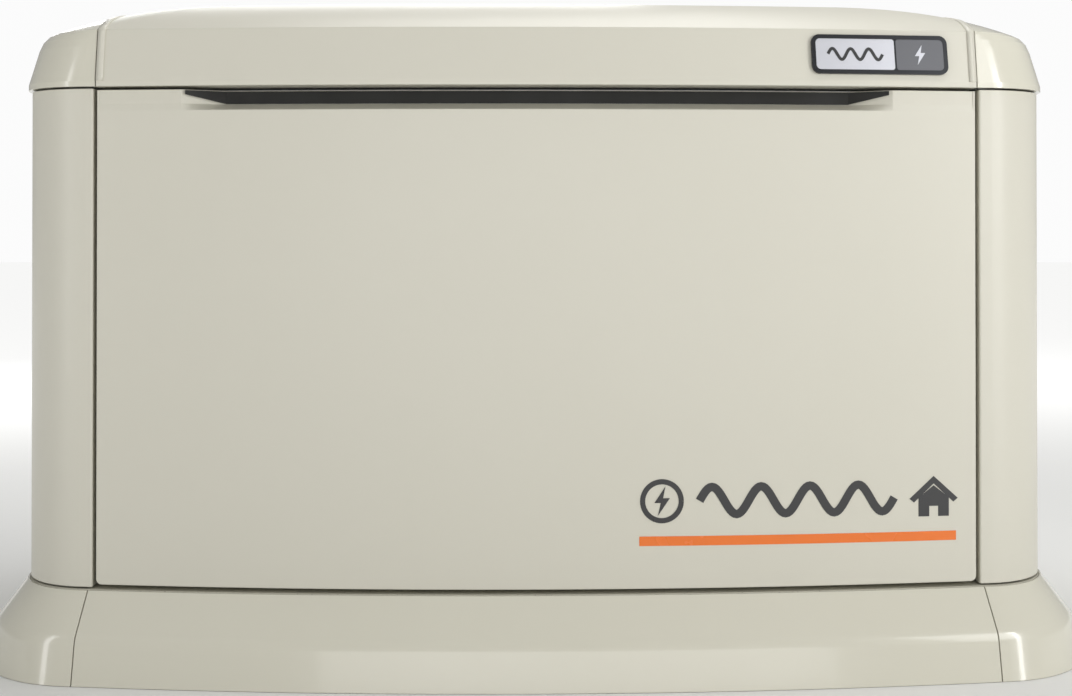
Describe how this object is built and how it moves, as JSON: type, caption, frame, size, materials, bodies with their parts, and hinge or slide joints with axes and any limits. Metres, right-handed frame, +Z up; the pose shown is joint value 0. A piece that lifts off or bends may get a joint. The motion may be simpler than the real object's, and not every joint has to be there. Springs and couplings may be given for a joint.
{
  "type": "home standby generator",
  "caption": "Fixed standby generator set: bowed, louvred sheet-metal enclosure with a crowned hinged lid on a skirted pad, holding an air-cooled engine and an alternator.",
  "frame": {"origin": "middle of the pad's underside, on the ground", "axes": "+Z up, the bowed front panel faces -Y, +X to the right seen from the front"},
  "size_m": [1.218, 0.638, 0.732],
  "materials": {
    "enclosure_powder_coat": "fine textured bisque powder coat, satin",
    "moulded_cap": "bisque moulded polymer, semi-gloss",
    "pad_composite": "light grey moulded composite, matt",
    "galvanised_steel": "zinc plated, dull",
    "seal_rubber": "black rubber, matt",
    "acoustic_foam": "charcoal open-cell foam",
    "lock_zinc": "bright zinc die-casting",
    "badge_plate": "dark plate with a silver field",
    "cast_aluminium": "sand-cast aluminium",
    "machined_steel": "machined steel",
    "cast_iron": "dark casting",
    "black_paint": "black stoved enamel, satin",
    "aluminised_steel": "aluminised sheet, heat dulled",
    "black_plastic": "black moulded plastic",
    "control_paint": "grey powder coat",
    "controller_plastic": "charcoal moulded plastic",
    "button_green": "green moulded button",
    "button_red": "red moulded button",
    "button_grey": "grey moulded button"
  },
  "bodies": {
    "enclosure": {"air_cleaner": "black_plastic", "alternator_housing": "cast_aluminium", "battery": "black_plastic", "blower_housing": "black_paint", "control_box": "control_paint", "controller": "controller_plastic", "crankcase": "cast_aluminium", "cylinders": "cast_aluminium", "divider_wall": "galvanised_steel", "engine_cradle": "black_paint", "fuel_hose": "seal_rubber", "fuel_regulator": "cast_aluminium", "hinge_body_leaves": "galvanised_steel", "hinge_pins": "galvanised_steel", "intake_mixer": "cast_aluminium", "lid_gasket": "seal_rubber", "lock_housings": "lock_zinc", "main_breaker": "black_plastic", "mounting_pad": "pad_composite", "muffler": "aluminised_steel", "oil_filter": "black_paint", "panel_screws": "galvanised_steel", "post_front_left": "enclosure_powder_coat", "post_front_right": "enclosure_powder_coat", "posts_rear": "enclosure_powder_coat", "rear_panel": "enclosure_powder_coat", "rocker_covers": "black_paint", "side_panel_discharge": "enclosure_powder_coat", "side_panel_intake": "enclosure_powder_coat", "skirt_corner_front_left": "moulded_cap", "skirt_corner_front_right": "moulded_cap", "skirt_corners_rear": "moulded_cap", "skirt_front": "moulded_cap", "skirt_rear": "moulded_cap", "skirt_sides": "moulded_cap", "starter_motor": "black_paint", "stator": "machined_steel", "top_frame": "galvanised_steel", "utility_plate": "cast_aluminium", "vibration_mounts": "seal_rubber"},
    "lid": {"lid_roof": "enclosure_powder_coat", "lid_end_cap_left": "moulded_cap", "lid_end_cap_right": "moulded_cap", "lid_foam": "acoustic_foam", "hinge_lid_leaves": "galvanised_steel", "lid_strikers": "galvanised_steel", "badge": "badge_plate"},
    "front_panel": {"front_panel": "enclosure_powder_coat"},
    "lock_left": {"lock_cylinder_left": "lock_zinc"},
    "lock_right": {"lock_cylinder_right": "lock_zinc"},
    "lock_cover_left": {"lock_cover_left": "seal_rubber"},
    "lock_cover_right": {"lock_cover_right": "seal_rubber"},
    "engine_shaft": {"crankshaft": "machined_steel", "flywheel_fan": "cast_iron", "rotor": "machined_steel"},
    "dipstick": {"dipstick": "machined_steel"},
    "button_auto": {"button_auto": "button_green"},
    "button_off": {"button_off": "button_red"},
    "button_manual": {"button_manual": "button_grey"},
    "breaker_handle": {"breaker_handle": "black_plastic"}
  },
  "joints": [
    {"name": "lid_hinge", "type": "hinge", "parent": "enclosure", "child": "lid", "pos_m": [0, 0.286, 0.626], "axis": [-1, 0, 0], "range_deg": [0, 95]},
    {"name": "front_panel_pull", "type": "slide", "parent": "enclosure", "child": "front_panel", "axis": [0, -1, 0], "range_m": [0, 0.3]},
    {"name": "lock_left_turn", "type": "hinge", "parent": "enclosure", "child": "lock_left", "pos_m": [-0.55, 0.03, 0.572], "axis": [-1, 0, 0], "range_deg": [0, 90]},
    {"name": "lock_right_turn", "type": "hinge", "parent": "enclosure", "child": "lock_right", "pos_m": [0.55, 0.03, 0.572], "axis": [-1, 0, 0], "range_deg": [0, 90]},
    {"name": "lock_cover_left_swing", "type": "hinge", "parent": "enclosure", "child": "lock_cover_left", "pos_m": [-0.569, 0.03, 0.592], "axis": [0, 1, 0], "range_deg": [0, 110]},
    {"name": "lock_cover_right_swing", "type": "hinge", "parent": "enclosure", "child": "lock_cover_right", "pos_m": [0.569, 0.03, 0.592], "axis": [0, -1, 0], "range_deg": [0, 110]},
    {"name": "engine_spin", "type": "hinge", "parent": "enclosure", "child": "engine_shaft", "pos_m": [0, 0.045, 0.29], "axis": [1, 0, 0], "continuous": true},
    {"name": "dipstick_pull", "type": "slide", "parent": "enclosure", "child": "dipstick", "axis": [0, 0, 1], "range_m": [0, 0.15]},
    {"name": "button_auto_press", "type": "slide", "parent": "enclosure", "child": "button_auto", "axis": [0, 0.6014, -0.799], "range_m": [0, 0.0015], "stiffness_N_per_m": 800, "springref_m": -0.001},
    {"name": "button_off_press", "type": "slide", "parent": "enclosure", "child": "button_off", "axis": [0, 0.6014, -0.799], "range_m": [0, 0.0015], "stiffness_N_per_m": 800, "springref_m": -0.001},
    {"name": "button_manual_press", "type": "slide", "parent": "enclosure", "child": "button_manual", "axis": [0, 0.6014, -0.799], "range_m": [0, 0.0015], "stiffness_N_per_m": 800, "springref_m": -0.001},
    {"name": "breaker_throw", "type": "hinge", "parent": "enclosure", "child": "breaker_handle", "pos_m": [-0.245, -0.16451, 0.56299], "axis": [-1, 0, 0], "range_deg": [0, 44]}
  ]
}
